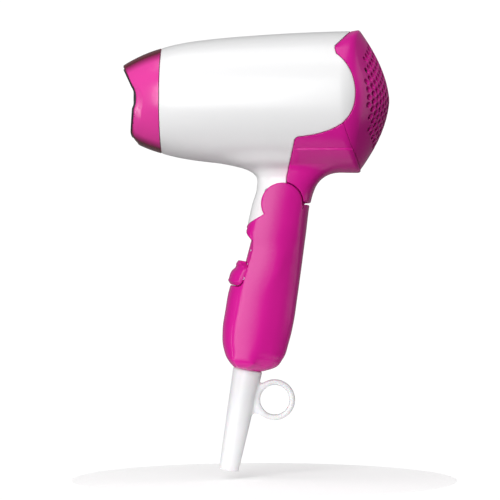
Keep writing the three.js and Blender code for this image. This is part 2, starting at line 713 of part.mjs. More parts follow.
const handleScrew = ([x, z]) => join(crossRod(2.6, 6.3, 8.2, x, z, 16), crossRod(1.1, -9, 7, x, z, 12));
const clampScrew = (x) => join(
  crossRod(2.4, -2.4, -0.8, x, CLAMP_Z, 14),
  crossRod(1, -1, 8.5, x, CLAMP_Z, 12),
);

const cordClamp = () => cut(
  box(-11, 11, -0.5, 2.2, CLAMP_Z - 3.5, CLAMP_Z + 3.5),
  ...CLAMP_SCREWS.map((x) => crossRod(1.35, -2, 4, x, CLAMP_Z, 12)),
);

function switchBody() {
  const shell = box(-9.2, 0, -6, 6, -50, -21.4);
  const pocket = box(-12, -2, -4.4, 4.4, -47, -23.2);
  return fromTrack(cut(shell, pocket));
}

const switchContact = () => fromTrack(box(-6.9, -2.6, -4, 4, -45, -38.6));

function switchKnob() {
  const body = cut(slab(knobOutline(0, 0), -KNOB_HALF, KNOB_HALF), knobTrack(0.35));
  const stem = box(-16, -7.3, -1.5, 1.5, -43.4, -38);
  return fromTrack(join(body, stem));
}

const noiseCapacitor = () => box(-12, 1, -5.5, 5.5, -65, -54);

const handleLead = () => tube([[9.5, 0, -57], [8, 0, -46], [3.6, 0, -37], [3, 0, -30], [3.2, 0, -24]], 1.6, 12, 7);

// ---- Cord guard with hanging ring ----
function cordGuard() {
  const foot = HANDLE_FOOT - GAP;
  const taper = uprightTurn([[0, GUARD_END], [GUARD_END_RADIUS, GUARD_END], [GUARD_TOP_RADIUS, foot], [5.1, foot],
    [5.1, -84.9], [8, -84.9], [8, -82], [0, -82]], GUARD_X);
  const ring = crossRod(RING_OUTER, -RING_HALF, RING_HALF, RING_X, RING_Z, 36);
  const web = slab(polygon([[0, -93], [8, -93.6], [14, RING_Z + 9], [14, RING_Z - 10.4], [3, -110.5], [0, -112]]),
    -RING_HALF, RING_HALF);
  return cut(
    join(taper, ring, web),
    crossRod(RING_HOLE, -10, 10, RING_X, RING_Z, 32),
    uprightTurn([[0, GUARD_END - 5], [CORD_BORE_RADIUS, GUARD_END - 5], [CORD_BORE_RADIUS, -70], [0, -70]],
      GUARD_X, 20),
  );
}

// ---- Assembly ----
const dryer = new THREE.Group();
dryer.position.set(GRIP_DROP * Math.sin(HANDLE_LEAN), 0, GRIP_DROP * Math.cos(HANDLE_LEAN));
const head = new THREE.Group();
const handle = new THREE.Group();
handle.rotation.y = HANDLE_LEAN;
dryer.add(head, handle);

function place(group, name, body, material) {
  const mesh = new THREE.Mesh(geometryOf(body), material);
  mesh.name = name;
  group.add(mesh);
}

place(head, 'barrel_housing', barrelHousing(), white);
place(head, 'rear_housing', rearHousing(), pink);
place(head, 'rear_grille', rearGrille(), pink);
place(head, 'outlet_nozzle', outletNozzle(), nozzlePink);
place(head, 'outlet_grille', outletGrille(), darkPlastic);
place(head, 'lint_screen', lintScreen(), darkPlastic);
place(head, 'heater_tube', heaterTube(), board);
place(head, 'mica_board_upright', micaBoardUpright(), board);
place(head, 'mica_board_flat', micaBoardFlat(), board);
place(head, 'heating_coil_front', heatingCoil(-54, 4, 5), nichrome);
place(head, 'heating_coil_rear', heatingCoil(-31, 4, 5), nichrome);
place(head, 'thermostat', thermostat(), steel);
place(head, 'thermal_fuse', thermalFuse(), steel);
place(head, 'motor', motor(), motorSteel);
place(head, 'motor_holder', motorHolder(), darkPlastic);
place(head, 'rectifier_board', rectifierBoard(), circuitGreen);
place(head, 'neck_screw', neckScrew(), steel);
place(head, 'detent_ball', detentBall(), steel);
place(head, 'detent_spring', detentSpring(), steel);
place(head, 'head_lead', headLead(), leadCover);
place(head, 'motor_shaft', motorShaft(), steel);
place(head, 'fan_impeller', fanImpeller(), darkPlastic);
place(handle, 'handle_shell_left', handleHalf(-1), pink);
place(handle, 'handle_shell_right', handleHalf(1), pink);
place(handle, 'fold_pin', foldPin(), steel);
place(handle, 'handle_screw_upper', handleScrew(SCREWS[0]), steel);
place(handle, 'handle_screw_lower', handleScrew(SCREWS[1]), steel);
place(handle, 'switch_body', switchBody(), darkPlastic);
place(handle, 'switch_contact', switchContact(), steel);
place(handle, 'switch_knob', switchKnob(), pink);
place(handle, 'noise_capacitor', noiseCapacitor(), darkPlastic);
place(handle, 'handle_lead', handleLead(), leadCover);
place(handle, 'cord_clamp', cordClamp(), guardWhite);
place(handle, 'clamp_screw_front', clampScrew(CLAMP_SCREWS[0]), steel);
place(handle, 'clamp_screw_rear', clampScrew(CLAMP_SCREWS[1]), steel);
place(handle, 'cord_guard', cordGuard(), guardWhite);

export default dryer;
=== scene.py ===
"""Looks for the folding hair dryer: smooth casings, moulded plastic materials, studio light and camera.

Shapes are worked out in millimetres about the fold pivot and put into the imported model's frame in metres.
The head lies in the pivot's upright frame, the handle in a frame that leans with it.
"""

import json
import math

import bpy
import numpy as np
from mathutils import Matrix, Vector


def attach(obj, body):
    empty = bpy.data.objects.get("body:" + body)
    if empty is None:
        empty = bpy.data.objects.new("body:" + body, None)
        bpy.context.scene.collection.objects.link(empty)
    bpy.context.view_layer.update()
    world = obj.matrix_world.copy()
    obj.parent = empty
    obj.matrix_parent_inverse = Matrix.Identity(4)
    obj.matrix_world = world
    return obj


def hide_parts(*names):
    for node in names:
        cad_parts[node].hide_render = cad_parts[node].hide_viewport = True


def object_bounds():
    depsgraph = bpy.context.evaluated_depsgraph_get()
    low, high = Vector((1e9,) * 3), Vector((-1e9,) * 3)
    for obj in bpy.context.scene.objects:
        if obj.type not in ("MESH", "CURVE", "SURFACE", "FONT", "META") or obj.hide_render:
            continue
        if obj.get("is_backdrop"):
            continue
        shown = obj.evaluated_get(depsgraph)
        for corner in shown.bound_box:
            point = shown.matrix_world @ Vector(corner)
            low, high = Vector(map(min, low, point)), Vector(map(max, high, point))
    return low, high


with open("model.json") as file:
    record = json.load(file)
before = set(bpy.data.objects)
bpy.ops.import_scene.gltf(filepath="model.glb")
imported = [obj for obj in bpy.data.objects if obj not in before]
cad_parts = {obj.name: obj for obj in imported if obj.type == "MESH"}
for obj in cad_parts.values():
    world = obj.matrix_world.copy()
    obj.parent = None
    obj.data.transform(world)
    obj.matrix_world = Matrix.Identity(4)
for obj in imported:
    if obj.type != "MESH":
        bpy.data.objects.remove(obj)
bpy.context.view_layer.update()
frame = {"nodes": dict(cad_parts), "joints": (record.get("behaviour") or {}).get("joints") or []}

MM = 0.001

# ---- Driving dimensions, millimetres about the fold pivot ----
PIVOT = Vector(next(j for j in frame["joints"] if j["name"] == "fold_hinge")["pos_m"])
LEAN = math.radians(10.7)  # the handle leans its foot towards the nozzle
RISE = 53.6  # barrel axis above the pivot
SEAM_X = -62.3  # nozzle meets barrel
RIM_X = 40.3  # barrel meets intake dome in the middle plane
RIM_RADIUS = 36.2
RIM_SETBACK = 4  # how much further forward the dome's edge lies at the sides
BARREL_TAPER = 6.7  # slow narrowing towards the nozzle
END_TAPER = 2.3  # extra narrowing close to the nozzle
DOME_DEPTH = 15.1
DOME_POWER = 1.75
CROWN_X = RIM_X + DOME_DEPTH
HOLE_PITCH = 4.0
HOLE_RADIUS = 1.42
HOLE_FIELD = 28.6  # holes lie within this distance of the dome's middle
WALL = 1.8
PROUD = 0.5  # pink casing over white casing
FADE_AT = (26.8, 26)  # a point of the slanted line where the skirt's top starts to stand proud
FADE_WAY = (9.6, 10.2)  # direction of that line in the side view
TIP_X = -82.6
TIP_RADIUS = 18.2
NOZZLE_BASE = 27.2
NOZZLE_BULGE = 0.9  # how far its side bows out from a straight cone
NOZZLE_ROOT = SEAM_X - 0.3
CONE_SLOPE = 0.93  # keeps the cone's field close to a true distance
SPIGOT_RADIUS = 23.9
SHADE_SLEEVE_TIP_X = -76.1  # mouth of the dark sleeve inside the nozzle, painted shade: a dark sheet where the nozzle's inside lies in shade
GUARD_RING_X = -60  # middle of the outlet guard
PIN_BORE = 3.3
PIN_ROOM = 5.5  # opening in the rear casing round the fold pin
KNUCKLE = 10.8
KNUCKLE_ROOM = KNUCKLE + 0.35
TONGUE_HALF = 11.4
TONGUE_RADIUS = 12
TOE_RADIUS = 20.3
TOE_END_X = -8.7  # below the pivot the toe reaches back to here
NECK_TOP = 34
SCREW_HOLE = 3
HANDLE_HALF = 15.5
HANDLE_FOOT = -87.4
SKIN_FOOT = HANDLE_FOOT - 0.4
CHEEK_START, CHEEK_END = -2, 210  # ends of the handle's round top, degrees in the upright frame
FRONT_FALL = 1.9  # how far the side panels fall away towards the front
SWITCH_LEAN = math.radians(4)
TRACK_X = -13.2
TRACK_REAR = 19
TRACK_PIVOT_Z = -39
KNOB_TOP = -32.75
KNOB_FOOT = -46
KNOB_TRAVEL = 14.4
KNOB_ROOM = 0.4
MARK_SIDE_Y = -13.9  # the marks lie beyond this, on the outer face of the cheek
GUARD_X = -1.3
GUARD_TIP = -141
GUARD_FOOT = HANDLE_FOOT - 0.3
CORD_BORE = 3.6
RING_AT = (15.35, -100.6)
RING_RADIUS = 9.1
RING_HOLE = 7.55

# Rows are height, front x, rear x, half width, from the top down.
NECK_ROWS = [
    (30, -34, 44, 19), (21, -25, 33, 16), (18.4, -18.2, 27.2, 13), (14.8, -13.6, 20.6, 11.4),
    (8.5, -12.9, 17.4, 11.4), (0, -15.2, 14.8, 11.4), (-9, -17.3, 14.4, 11.4), (-16, -18.6, 14.2, 11.4),
]
PAD_ROWS = [(30, -20, 44, 15.3), (17, -16, 25, 15.3), (8.5, -15, 17.4, 15.3), (0, -15.2, 14.8, 15.3),
            (-6, -15.4, 14.6, 15.3)]
HANDLE_ROWS = [
    (14, -14.5, 14.4, 15.5), (0, -15, 14.5, 15.5), (-13.6, -15.4, 15.4, 15.5), (-17.5, -15.9, 15.6, 15.5),
    (-24.5, -13.3, 16, 15.5), (-32, -13.6, 16.4, 15.5), (-46, -18.2, 17.1, 15.5), (-60, -18.5, 17.6, 15.5),
    (-70, -18, 17.1, 15.5), (-79, -15.8, 15.6, 14.2), (-84.4, -12.6, 12.1, 11.6), (SKIN_FOOT, -8.8, 5.6, 7.8),
]
CAVITY_ROWS = [
    (24, -12.8, 12.4, 11.8), (0, -13, 12.5, 11.8), (-14, -13.4, 13.4, 11.8), (-20, -11.2, 13.9, 12.8),
    (-44, -11.2, 15, 13.5), (-49, -14.6, 15.2, 13.5), (-60, -16.4, 15.6, 13.5), (-70, -16, 14.9, 13.5),
    (-79, -13.6, 13.2, 12), (HANDLE_FOOT + 2, -9.4, 9.2, 8.6),
]
KNOB_ROWS = [
    (-32.7, -16.9, 17, 15.9), (-34.4, -17.0, 17, 16.0), (-36.6, -17.5, 17, 16.0), (-38.6, -18.9, 17, 16.1),
    (-40.2, -19.5, 17, 16.1), (-42.3, -19.7, 17, 16.1), (-44.4, -19.3, 17, 16.1), (-46.0, -18.5, 17, 16.0),
]


# ---- Fields: negative inside a shape, close to a distance near its surface ----
def low_of(a, b, soft=0.0):
    """Joins two shapes; soft rounds the inner corner between them."""
    if np.all(np.asarray(soft) <= 0):
        return np.minimum(a, b)
    near = np.maximum(soft - np.abs(a - b), 0) / soft
    return np.minimum(a, b) - near * near * soft / 4


def high_of(a, b, soft=0.0):
    """Keeps what two shapes share; soft rounds the edge between them."""
    return -low_of(-a, -b, soft)


def ease(t):
    """Smooth rise from 0 to 1 as t goes from 0 to 1."""
    t = np.clip(t, 0, 1)
    return t * t * (3 - 2 * t)


def along_rows(z, rows, column):
    """Smooth curve through one column of the rows at height z."""
    heights = np.array([row[0] for row in rows][::-1], float)
    values = np.array([row[column] for row in rows][::-1], float)
    slopes = np.gradient(values, heights)
    i = np.clip(np.searchsorted(heights, z) - 1, 0, len(heights) - 2)
    width = heights[i + 1] - heights[i]
    t = np.clip((z - heights[i]) / width, 0, 1)
    return ((2 * t**3 - 3 * t**2 + 1) * values[i] + (t**3 - 2 * t**2 + t) * width * slopes[i]
            + (3 * t**2 - 2 * t**3) * values[i + 1] + (t**3 - t**2) * width * slopes[i + 1])


def column_field(x, y, z, rows, power):
    """Upright column with super-elliptic sections."""
    front = along_rows(z, rows, 1)
    rear = along_rows(z, rows, 2)
    half = along_rows(z, rows, 3)
    reach = (rear - front) / 2
    across = np.abs((x - (front + rear) / 2) / reach)
    beside = np.abs(y / half)
    share = (across**power + beside**power + 1e-9) ** (1 / power)
    return (share - 1) * np.minimum(reach, half)


def side_outline(points, low, high, step=0.25):
    """Signed distance to a closed outline in the side view, read from a fine raster."""
    ring = np.array(points, float)
    xs = np.arange(low[0], high[0] + step, step)
    zs = np.arange(low[1], high[1] + step, step)
    px, pz = np.meshgrid(xs, zs, indexing="ij")
    best = np.full(px.shape, 1e9)
    inside = np.zeros(px.shape, bool)
    for (ax, az), (bx, bz) in zip(ring, np.roll(ring, -1, 0)):
        dx, dz = bx - ax, bz - az
        length = dx * dx + dz * dz
        if length < 1e-9:
            continue
        t = np.clip(((px - ax) * dx + (pz - az) * dz) / length, 0, 1)
        best = np.minimum(best, (px - ax - t * dx) ** 2 + (pz - az - t * dz) ** 2)
        if az != bz:
            inside ^= ((az > pz) != (bz > pz)) & (px < ax + (pz - az) / dz * dx)
    table = np.where(inside, -1, 1) * np.sqrt(best)

    def look(x, z):
        i = np.clip((x - xs[0]) / step, 0, len(xs) - 1.001)
        j = np.clip((z - zs[0]) / step, 0, len(zs) - 1.001)
        i0, j0 = i.astype(int), j.astype(int)
        u, v = i - i0, j - j0
        return ((1 - u) * ((1 - v) * table[i0, j0] + v * table[i0, j0 + 1])
                + u * ((1 - v) * table[i0 + 1, j0] + v * table[i0 + 1, j0 + 1]))

    return look


def bow(points, count=16):
    """Points along a Bezier curve of any order, its end left out."""
    out = []
    for k in range(count):
        t = k / count
        level = [Vector(p) for p in points]
        while len(level) > 1:
            level = [a.lerp(b, t) for a, b in zip(level, level[1:])]
        out.append(tuple(level[0]))
    return out


def arc(radius, start, end, count=24):
    """Points on an arc about the pivot, angles in degrees."""
    angles = [math.radians(start + (end - start) * k / count) for k in range(count + 1)]
    return [(radius * math.cos(a), radius * math.sin(a)) for a in angles]


def over_axis(points):
    """Outline points given about the barrel axis, moved to lie about the pivot."""
    return [(x, z + RISE) for x, z in points]


HEAD_LOW, HEAD_HIGH = (-96, -24), (64, 100)
HANDLE_LOW, HANDLE_HIGH = (-34, -100), (34, 30)
KNOB_LOW = (-34, -60)
FAR = 200  # beyond every shape of the head
PINK_X = 6.3  # front edge of the pink casing where it comes down to the neck

# Where pink casing meets white casing: everything inside the outline is pink.
PINK_EDGE = side_outline(
    over_axis([(FAR, 60), (41, 60), (36.8, 37.2), (36.4, 36.2), (27.4, 27.0), (26.8, 25.8), (27.1, 24.4)]
              + bow([(27.6, 22.6), (39.0, 14), (40.6, -6), (29.8, -13.6)], 24)
              + bow([(29.8, -13.6), (22.4, -18.6), (8.2, -19.9)], 12)
              + bow([(8.2, -19.9), (6.8, -20.1), (PINK_X, -21.6)], 4))
    + [(PINK_X, RISE - 21.6), (2.6, 14), (2.2, 4), (2.2, -30), (FAR, -30)],
    HEAD_LOW, HEAD_HIGH)
# Where the intake piece meets the lower rear casing: everything inside is the intake piece.
INTAKE_EDGE = side_outline(
    over_axis([(20, 90), (20, -10), (31, -13.2)] + bow([(31, -13.2), (33.6, -21), (40.3, -35)], 10)
              + [(41.3, -37), (41.3, -60), (FAR, -60), (FAR, 90)]),
    HEAD_LOW, HEAD_HIGH)
# Side outline of the neck: round tongue below the pivot, the toe's longer radius at its front.
NECK_EDGE = side_outline(
    [(FAR, FAR), (FAR, 0.6), (TONGUE_RADIUS, 0.6)]
    + arc(TONGUE_RADIUS, 0, -138) + arc(TOE_RADIUS, 222, 200, 6)
    + [(-FAR, 0), (-FAR, FAR)],
    HEAD_LOW, HEAD_HIGH)
# Scooped mouth of the nozzle: everything inside the outline is cut away.
MOUTH_EDGE = side_outline(
    over_axis([(-FAR, 30), (TIP_X - 4, 30), (TIP_X, TIP_RADIUS)]
              + bow([(TIP_X, TIP_RADIUS), (-78.4, 10.2), (-76.9, 6.6)], 14)
              + bow([(-76.9, 6.6), (-74.6, 3.6), (-74.5, -1.6), (-76.4, -5.0)], 12)
              + bow([(-76.4, -5.0), (-76.9, -11), (-77.6, -16.6)], 6)
              + bow([(-77.6, -16.6), (-77.5, -19.2), (-74.9, -21.9)], 6)
              + [(-74.9, -21.9), (-74, -60), (-FAR, -60)]),
    (-100, RISE - 40), (-50, RISE + 40))


def toe_room(x, y, z, half, rim):
    """Turned shape about the pivot that the toe stays inside."""
    core = 10
    shoulder = np.clip(1 - np.abs(y / half) ** 2.2, 0, 1) ** (1 / 2.2)
    return high_of(np.hypot(x, z) - core - (rim - core) * shoulder, np.abs(y) - half, 0.4)


def barrel_field(x, y, z):
    """Barrel with the intake dome behind it, a soft crease where they meet at the sides."""
    height = z - RISE
    radius = np.hypot(y, height)
    along = np.clip((RIM_X - x) / (RIM_X - SEAM_X), 0, 1.25)
    body = radius - (RIM_RADIUS - BARREL_TAPER * along**1.7 - END_TAPER * along**10)
    side = (y / (radius + 1e-6)) ** 2
    edge = RIM_X - RIM_SETBACK * side - 3 * RIM_SETBACK * side * (1 - side)
    dome = (radius / RIM_RADIUS) ** DOME_POWER + (x - edge) / (CROWN_X - edge) - 1
    return high_of(body, dome * 16, 0.8 + 6.0 * side**1.5)


def neck_field(x, y, z):
    """Neck below the barrel, ending in the tongue and toe that turn inside the handle."""
    toe = np.maximum(toe_room(x, y, z, TONGUE_HALF, TOE_RADIUS), np.minimum(x - TOE_END_X, -z))
    room = low_of(toe, toe_room(x, y, z, TONGUE_HALF, TONGUE_RADIUS))
    room = low_of(room, np.minimum(12 - z, np.maximum(-x, 0.6 - z)))
    body = high_of(column_field(x, y, z, NECK_ROWS, 2.4), NECK_EDGE(x, z), 0.5)
    body = np.maximum(body, z - NECK_TOP)
    return high_of(body, room, 0.4)


def pad_field(x, y, z):
    """Sides of the lower rear casing that lie flush with the handle's cheeks."""
    body = column_field(x, y, z, PAD_ROWS, 3)
    body = high_of(body, KNUCKLE_ROOM - np.hypot(x, z), 0.6)
    return high_of(body, np.maximum(0.75 - z, z - 26), 1.2)


def white_outer(x, y, z):
    """Skin of the barrel and its neck."""
    return low_of(barrel_field(x, y, z), neck_field(x, y, z), 5.0)


def seam_x(y):
    """Where the nozzle meets the barrel: a parting line that bows forward at the sides."""
    return SEAM_X - 0.6 * (y / 27) ** 2


def white_casing(x, y, z):
    """Barrel and the front half of the neck, one hollow moulding."""
    outer = white_outer(x, y, z)
    shell = high_of(outer, -(outer + WALL), 0.4)
    front = seam_x(y) + 0.04 - x
    shell = high_of(shell, np.maximum(0.1 - PINK_EDGE(x, z), front), 0.4)
    return high_of(shell, PIN_BORE - np.hypot(x, z), 0.2)


def pink_outer(x, y, z):
    """Skin of the rear casing, standing proud of the barrel, more so below its chin."""
    neck = low_of(neck_field(x, y, z), pad_field(x, y, z), 1.0)
    chin = 0.7 * ease((28.2 - z) / 1.1) * ease((x - 5) / 4)
    return low_of(barrel_field(x, y, z) - PROUD - chin, neck, 5.0)


def rear_casing(x, y, z):
    """Lower rear casing with the rear half of the neck."""
    outer = pink_outer(x, y, z)
    inner = white_outer(x, y, z)
    shell = high_of(outer, -(inner + WALL), 0.4)
    region = np.maximum(PINK_EDGE(x, z) + 0.05, 0.01 - INTAKE_EDGE(x, z))
    shell = high_of(shell, region, 0.12)
    knuckle_cut = KNUCKLE_ROOM - np.hypot(x, z) - 40 * (np.abs(y) < 11)
    shell = high_of(shell, knuckle_cut, 0.3)
    screw_hole = np.maximum(np.hypot(y, z - 10.4) - SCREW_HOLE, 12.3 - x)
    return high_of(high_of(shell, -screw_hole, 0.4), PIN_ROOM - np.hypot(x, z), 0.2)


def air_holes(y, z):
    """Staggered holes, even over the dome's curved surface, drawn out towards its edge."""
    height = z - RISE - 2.3
    radius = np.hypot(y, height) + 1e-6
    over = radius + 4.2 * (radius / RIM_RADIUS) ** 2.5
    over = over - 0.2 * np.maximum(over - 22, 0)
    a, b = over * y / radius, over * height / radius
    gap = HOLE_PITCH * math.sqrt(3)
    best = None
    for shift_a, shift_b in ((0, HOLE_PITCH / 2), (gap / 2, 0)):
        ca = np.round((a - shift_a) / gap) * gap + shift_a
        cb = np.round((b - shift_b) / HOLE_PITCH) * HOLE_PITCH + shift_b
        hole = np.hypot(a - ca, b - cb) - HOLE_RADIUS + 9 * (np.hypot(ca, cb) > HOLE_FIELD)
        best = hole if best is None else np.minimum(best, hole)
    return best


def intake_casing(x, y, z):
    """Skirt and pierced dome; at the top front it fades down to the barrel's own surface."""
    height = z - RISE
    past_line = (x - FADE_AT[0]) * FADE_WAY[1] - (height - FADE_AT[1]) * FADE_WAY[0]
    past_line = past_line / math.hypot(*FADE_WAY)
    slope = 1 - ease((height - 25.4) / 3) * (1 - ease((past_line + 0.2) / 2.6))
    inner = barrel_field(x, y, z)
    outer = inner - PROUD * slope
    shell = high_of(outer, -(inner + WALL), 0.4)
    region = np.maximum(PINK_EDGE(x, z) + 0.05, INTAKE_EDGE(x, z) + 0.01)
    shell = high_of(shell, region, 0.12)
    holes = np.maximum(air_holes(y, z), RIM_X - 6 - x)
    return high_of(shell, -holes, 0.35)


def nozzle_rim(x):
    """Outer radius of the nozzle from the seam to its tip."""
    share = np.clip((NOZZLE_ROOT - x) / (NOZZLE_ROOT - TIP_X), -0.2, 1.3)
    return NOZZLE_BASE + (TIP_RADIUS - NOZZLE_BASE) * share + 4 * NOZZLE_BULGE * share * (1 - share)


def nozzle_casing(x, y, z):
    """Scooped cone with a thinned lip at its mouth and a spigot that enters the barrel."""
    radius = np.hypot(y, z - RISE)
    rim = nozzle_rim(x)
    mouth = MOUTH_EDGE(x, z)
    # A shallow facet follows the mouth, widest a little below the barrel axis.
    reach = np.sqrt(np.clip(1 - ((z - RISE + 5.3) / 13) ** 2, 0, 1))
    facet = 0.27 * (4.6 * reach - mouth)
    outer = high_of(radius - rim, radius - rim + facet, 0.12) * CONE_SLOPE
    inner = (radius - rim + WALL) * CONE_SLOPE
    shell = high_of(outer, -inner, 0.4)
    shell = high_of(shell, -mouth, 1.2)
    shell = high_of(shell, x - seam_x(y) + 0.12, 0.4)
    spigot = np.maximum(np.abs(radius - SPIGOT_RADIUS) - 0.7, np.abs(x - SEAM_X - 1.2) - 2.8)
    return low_of(shell, spigot, 0.2)


def outlet_detail(x, y, z):
    """Outlet guard's rings and spokes, and a dark sleeve up to the mouth that is painted shade: a dark sheet
    where the nozzle's inside lies in shade.
    """
    height = z - RISE
    radius = np.hypot(y, height)
    thick = np.abs(x - GUARD_RING_X) - 0.9
    # Four rings, folded about their middle radius and then about the middle of each pair.
    rings = np.abs(np.abs(np.abs(radius - 13.2) - 4.7) - 2.4) - 0.55
    rings = np.maximum(rings, radius - 22.8)
    spokes = np.full(np.broadcast_shapes(y.shape, height.shape), 9.0)
    for degrees in (0, 60, 120):
        turn = math.radians(degrees)
        spokes = np.minimum(spokes, np.abs(y * math.cos(turn) + height * math.sin(turn)) - 0.6)
    spokes = np.maximum(spokes, radius - 22)
    rim = np.abs(radius - 22.2) - 0.7
    web = low_of(low_of(low_of(rings, spokes, 0.6), rim, 0.6), radius - 4.2, 0.6)
    web = high_of(web, thick, 0.5)
    # Painted shade: the dark sleeve lines the nozzle up to its mouth so that the inside and the lip read as
    # shaded.
    sleeve = np.abs(radius - nozzle_rim(x) + WALL + 0.95) - 0.6
    open_end = np.minimum(SHADE_SLEEVE_TIP_X - x, -MOUTH_EDGE(x, z) - 0.6)
    return np.minimum(web, high_of(sleeve, np.maximum(open_end, x - GUARD_RING_X), 0.4))


def handle_outer(x, y, z):
    """Crowned side panels framed by a rounder rim, a crease between them."""
    front, rear = along_rows(z, HANDLE_ROWS, 1), along_rows(z, HANDLE_ROWS, 2)
    half = along_rows(z, HANDLE_ROWS, 3)
    reach = (rear - front) / 2
    across = np.clip((x - (front + rear) / 2) / reach, -1.6, 1.6)
    back_fall = 6.2 + 4.4 * ease((-8 - z) / 25)
    front_crease = np.maximum((-11.8 - (front + rear) / 2) / reach, -0.9)
    rear_crease = np.minimum((10 + 2.6 * ease((-6 - z) / 50) - (front + rear) / 2) / reach, 0.85)
    square = 2.4 + 1.3 * ease((z + 29) / 5)
    power = square + (2 - square) * ease(across + 0.5)
    front_share = (1 - np.abs(front_crease) ** square) ** (1 / square)
    front_wide = (HANDLE_HALF - FRONT_FALL * front_crease**2) / front_share
    rear_wide = (HANDLE_HALF - back_fall * rear_crease**2.2) / np.sqrt(1 - rear_crease**2)
    wide = half / HANDLE_HALF * (front_wide + (rear_wide - front_wide) * ease(across + 0.5))
    rim = ((np.abs(across) ** power + np.abs(y / wide) ** power + 1e-9) ** (1 / power) - 1) * 13
    drop = np.where(across < 0, FRONT_FALL * across**2, back_fall * np.abs(across) ** 2.2)
    panel = np.abs(y) - (HANDLE_HALF - drop)
    body = high_of(rim, panel, 0.8)
    foot_half = 9 + 7 * np.sqrt(np.clip(1 - (np.minimum(z + 81, 0) / 6.6) ** 2, 0, 1))
    body = high_of(body, (np.abs(y) - foot_half) * 0.8, 0.8)
    return high_of(body, SKIN_FOOT - z, 1.6)


OUTSIDE = 60  # beyond every shape of the handle


def leaning_ray(degrees):
    """Point well outside the handle on a ray from the pivot, its angle taken in the upright frame."""
    angle = math.radians(degrees) + LEAN
    return (OUTSIDE * math.cos(angle), OUTSIDE * math.sin(angle))


# Side outline of the handle above its foot: a round cheek between two straight edges.
HANDLE_EDGE = side_outline(
    [leaning_ray(CHEEK_START)]
    + arc(KNUCKLE, CHEEK_START + math.degrees(LEAN), CHEEK_END + math.degrees(LEAN), 60)
    + [leaning_ray(CHEEK_END), (-OUTSIDE, -2 * OUTSIDE), (OUTSIDE, -2 * OUTSIDE)],
    HANDLE_LOW, HANDLE_HIGH)
# Sector that the head's toe passes through as it folds.
TOE_SWEEP = side_outline([(0, 0)] + arc(40, 198, 311, 30), HANDLE_LOW, HANDLE_HIGH)


def to_track(x, z):
    """Handle frame to the slide's frame."""
    c, s = math.cos(SWITCH_LEAN), math.sin(SWITCH_LEAN)
    down = z - TRACK_PIVOT_Z
    return x * c - down * s, x * s + down * c + TRACK_PIVOT_Z


def track_field(x, y, grow=0.0):
    """Straight column that the knob rides on."""
    reach = (TRACK_REAR - TRACK_X) / 2 + grow
    half = HANDLE_HALF + grow
    across = np.abs((x - (TRACK_REAR + TRACK_X) / 2) / reach)
    return ((across**3 + np.abs(y / half) ** 3 + 1e-9) ** (1 / 3) - 1) * half


# Rear edge of the knob's flanks and its foot.
KNOB_REAR = (bow([(-10.7, -35.4), (-10.7, -38.6), (-12.9, -44.6)], 10)
             + bow([(-12.9, -44.6), (-13.6, -45.9), (-15.4, KNOB_FOOT)], 4)
             + [(-30, KNOB_FOOT)])
KNOB_FLANK = side_outline(
    [(-30, KNOB_TOP), (-12.2, KNOB_TOP)]
    + bow([(-12.2, KNOB_TOP), (-10.7, -33.2), (-10.7, -35.4)], 6) + KNOB_REAR,
    KNOB_LOW, (0, -20))
# The same, stretched upwards for the knob's travel.
KNOB_SWEEP = side_outline(
    [(-30, 0), (-9.6, 0), (-9.6, KNOB_TOP + KNOB_TRAVEL)] + KNOB_REAR,
    KNOB_LOW, (0, 4))


def knob_half(z):
    """Half width of the resting knob, narrower towards its top."""
    return 8.2 + 5.2 * ease((KNOB_TOP - z) / 4.4)


def knob_path(x, y, z):
    """Room that the knob sweeps as it slides, in the slide's frame."""
    side = np.abs(y) - knob_half(z - KNOB_TRAVEL) - KNOB_ROOM
    upper = z - KNOB_TOP - KNOB_TRAVEL - KNOB_ROOM + (x + 13.4) * 0.35
    return np.maximum(side, upper)


def handle_shell(side):
    """Field of one half of the handle, left for side -1 and right for side 1."""
    def field(x, y, z):
        outer = high_of(handle_outer(x, y, z), HANDLE_EDGE(x, z), 0.9)
        tx, tz = to_track(x, z)
        path = np.maximum(knob_path(tx, y, tz), KNOB_SWEEP(x, z) - 0.3)
        path = np.maximum(path, -track_field(tx, y))
        outer = high_of(outer, -path, 0.5)
        sweep = np.maximum(toe_room(x, y, z, 11.8, TOE_RADIUS + 0.45), TOE_SWEEP(x, z))
        sweep = np.minimum(sweep, toe_room(x, y, z, 11.8, TONGUE_RADIUS + 0.4))
        slot = np.maximum(np.maximum(np.abs(y) - 1.9, np.abs(tx + 10) - 10), np.abs(tz + 33.5) - 10.9)
        inside = np.maximum(column_field(x, y, z, CAVITY_ROWS, 3), handle_outer(x, y, z) + WALL)
        hollow = np.minimum(inside, np.minimum(sweep, slot))
        hollow = high_of(hollow, HANDLE_FOOT + 2 - z, 0.3)
        hollow = np.minimum(hollow, np.maximum(np.hypot(x - GUARD_X, y) - 5.5, z + 80))
        shell = high_of(outer, -hollow, 0.3)
        shell = high_of(shell, 0.05 - side * y, 0.35)
        if side > 0:
            for sx, sz in ((10.2, -28), (7.5, -66)):
                recess = np.maximum(np.hypot(x - sx, z - sz) - SCREW_HOLE, 6 - y)
                shell = high_of(shell, -recess, 0.4)
        return shell
    return field


def knob_body(x, y, z):
    """Slide knob: a thumb pad with a raised line round its flank, and a stem into the handle."""
    tx, tz = to_track(x, z)
    outer = column_field(x, y, z, KNOB_ROWS, 2.5)
    ridge = 0.45 * np.exp(-((KNOB_FLANK(x, z) + 2.0) / 0.9) ** 2)
    outer = outer - ridge
    body = high_of(outer, KNOB_FLANK(x, z), 0.9)
    body = high_of(body, np.abs(y) - knob_half(z), 0.6)
    body = high_of(body, -track_field(tx, y, 0.3), 0.2)
    stem = np.maximum(np.maximum(np.abs(y) - 1.5, np.abs(tx + 12) - 4.7), np.abs(tz + 40.7) - 2.7)
    return low_of(body, stem, 0.2)


